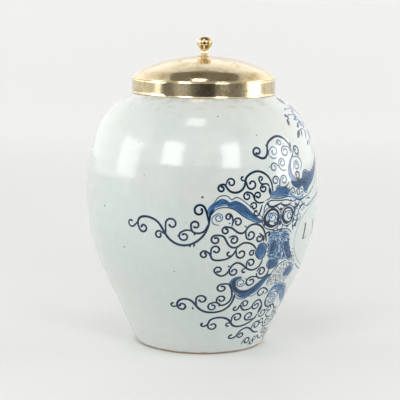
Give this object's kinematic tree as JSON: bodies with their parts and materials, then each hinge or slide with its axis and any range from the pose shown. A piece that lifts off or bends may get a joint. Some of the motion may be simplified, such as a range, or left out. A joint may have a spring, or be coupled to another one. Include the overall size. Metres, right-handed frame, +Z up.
{
  "type": "apothecary jar",
  "caption": "Tall shouldered storage jar of painted, glazed earthenware with a narrow foot, and a slip-over domed brass lid with a pear-shaped knob.",
  "frame": {"origin": "centre of the foot, in the plane the jar stands on", "axes": "+Z up along the jar's axis; -Y towards the painted front with the label panel; +X to the right of someone facing the front"},
  "size_m": [0.222, 0.222, 0.2938],
  "materials": {
    "tin_glaze": "gloss",
    "cobalt_paint": "gloss",
    "brass": "polished",
    "solder": "matte"
  },
  "bodies": {
    "jar": {"pot": "tin_glaze"},
    "lid": {"lid_dome": "brass", "lid_band": "brass", "lid_solder_fillet": "solder", "finial_knob": "brass", "finial_stud": "brass", "finial_washer": "brass", "finial_nut": "brass"}
  },
  "joints": [
    {"name": "lid_lift", "type": "slide", "parent": "jar", "child": "lid", "axis": [0, 0, 1], "range_m": [0, 0.12]}
  ]
}
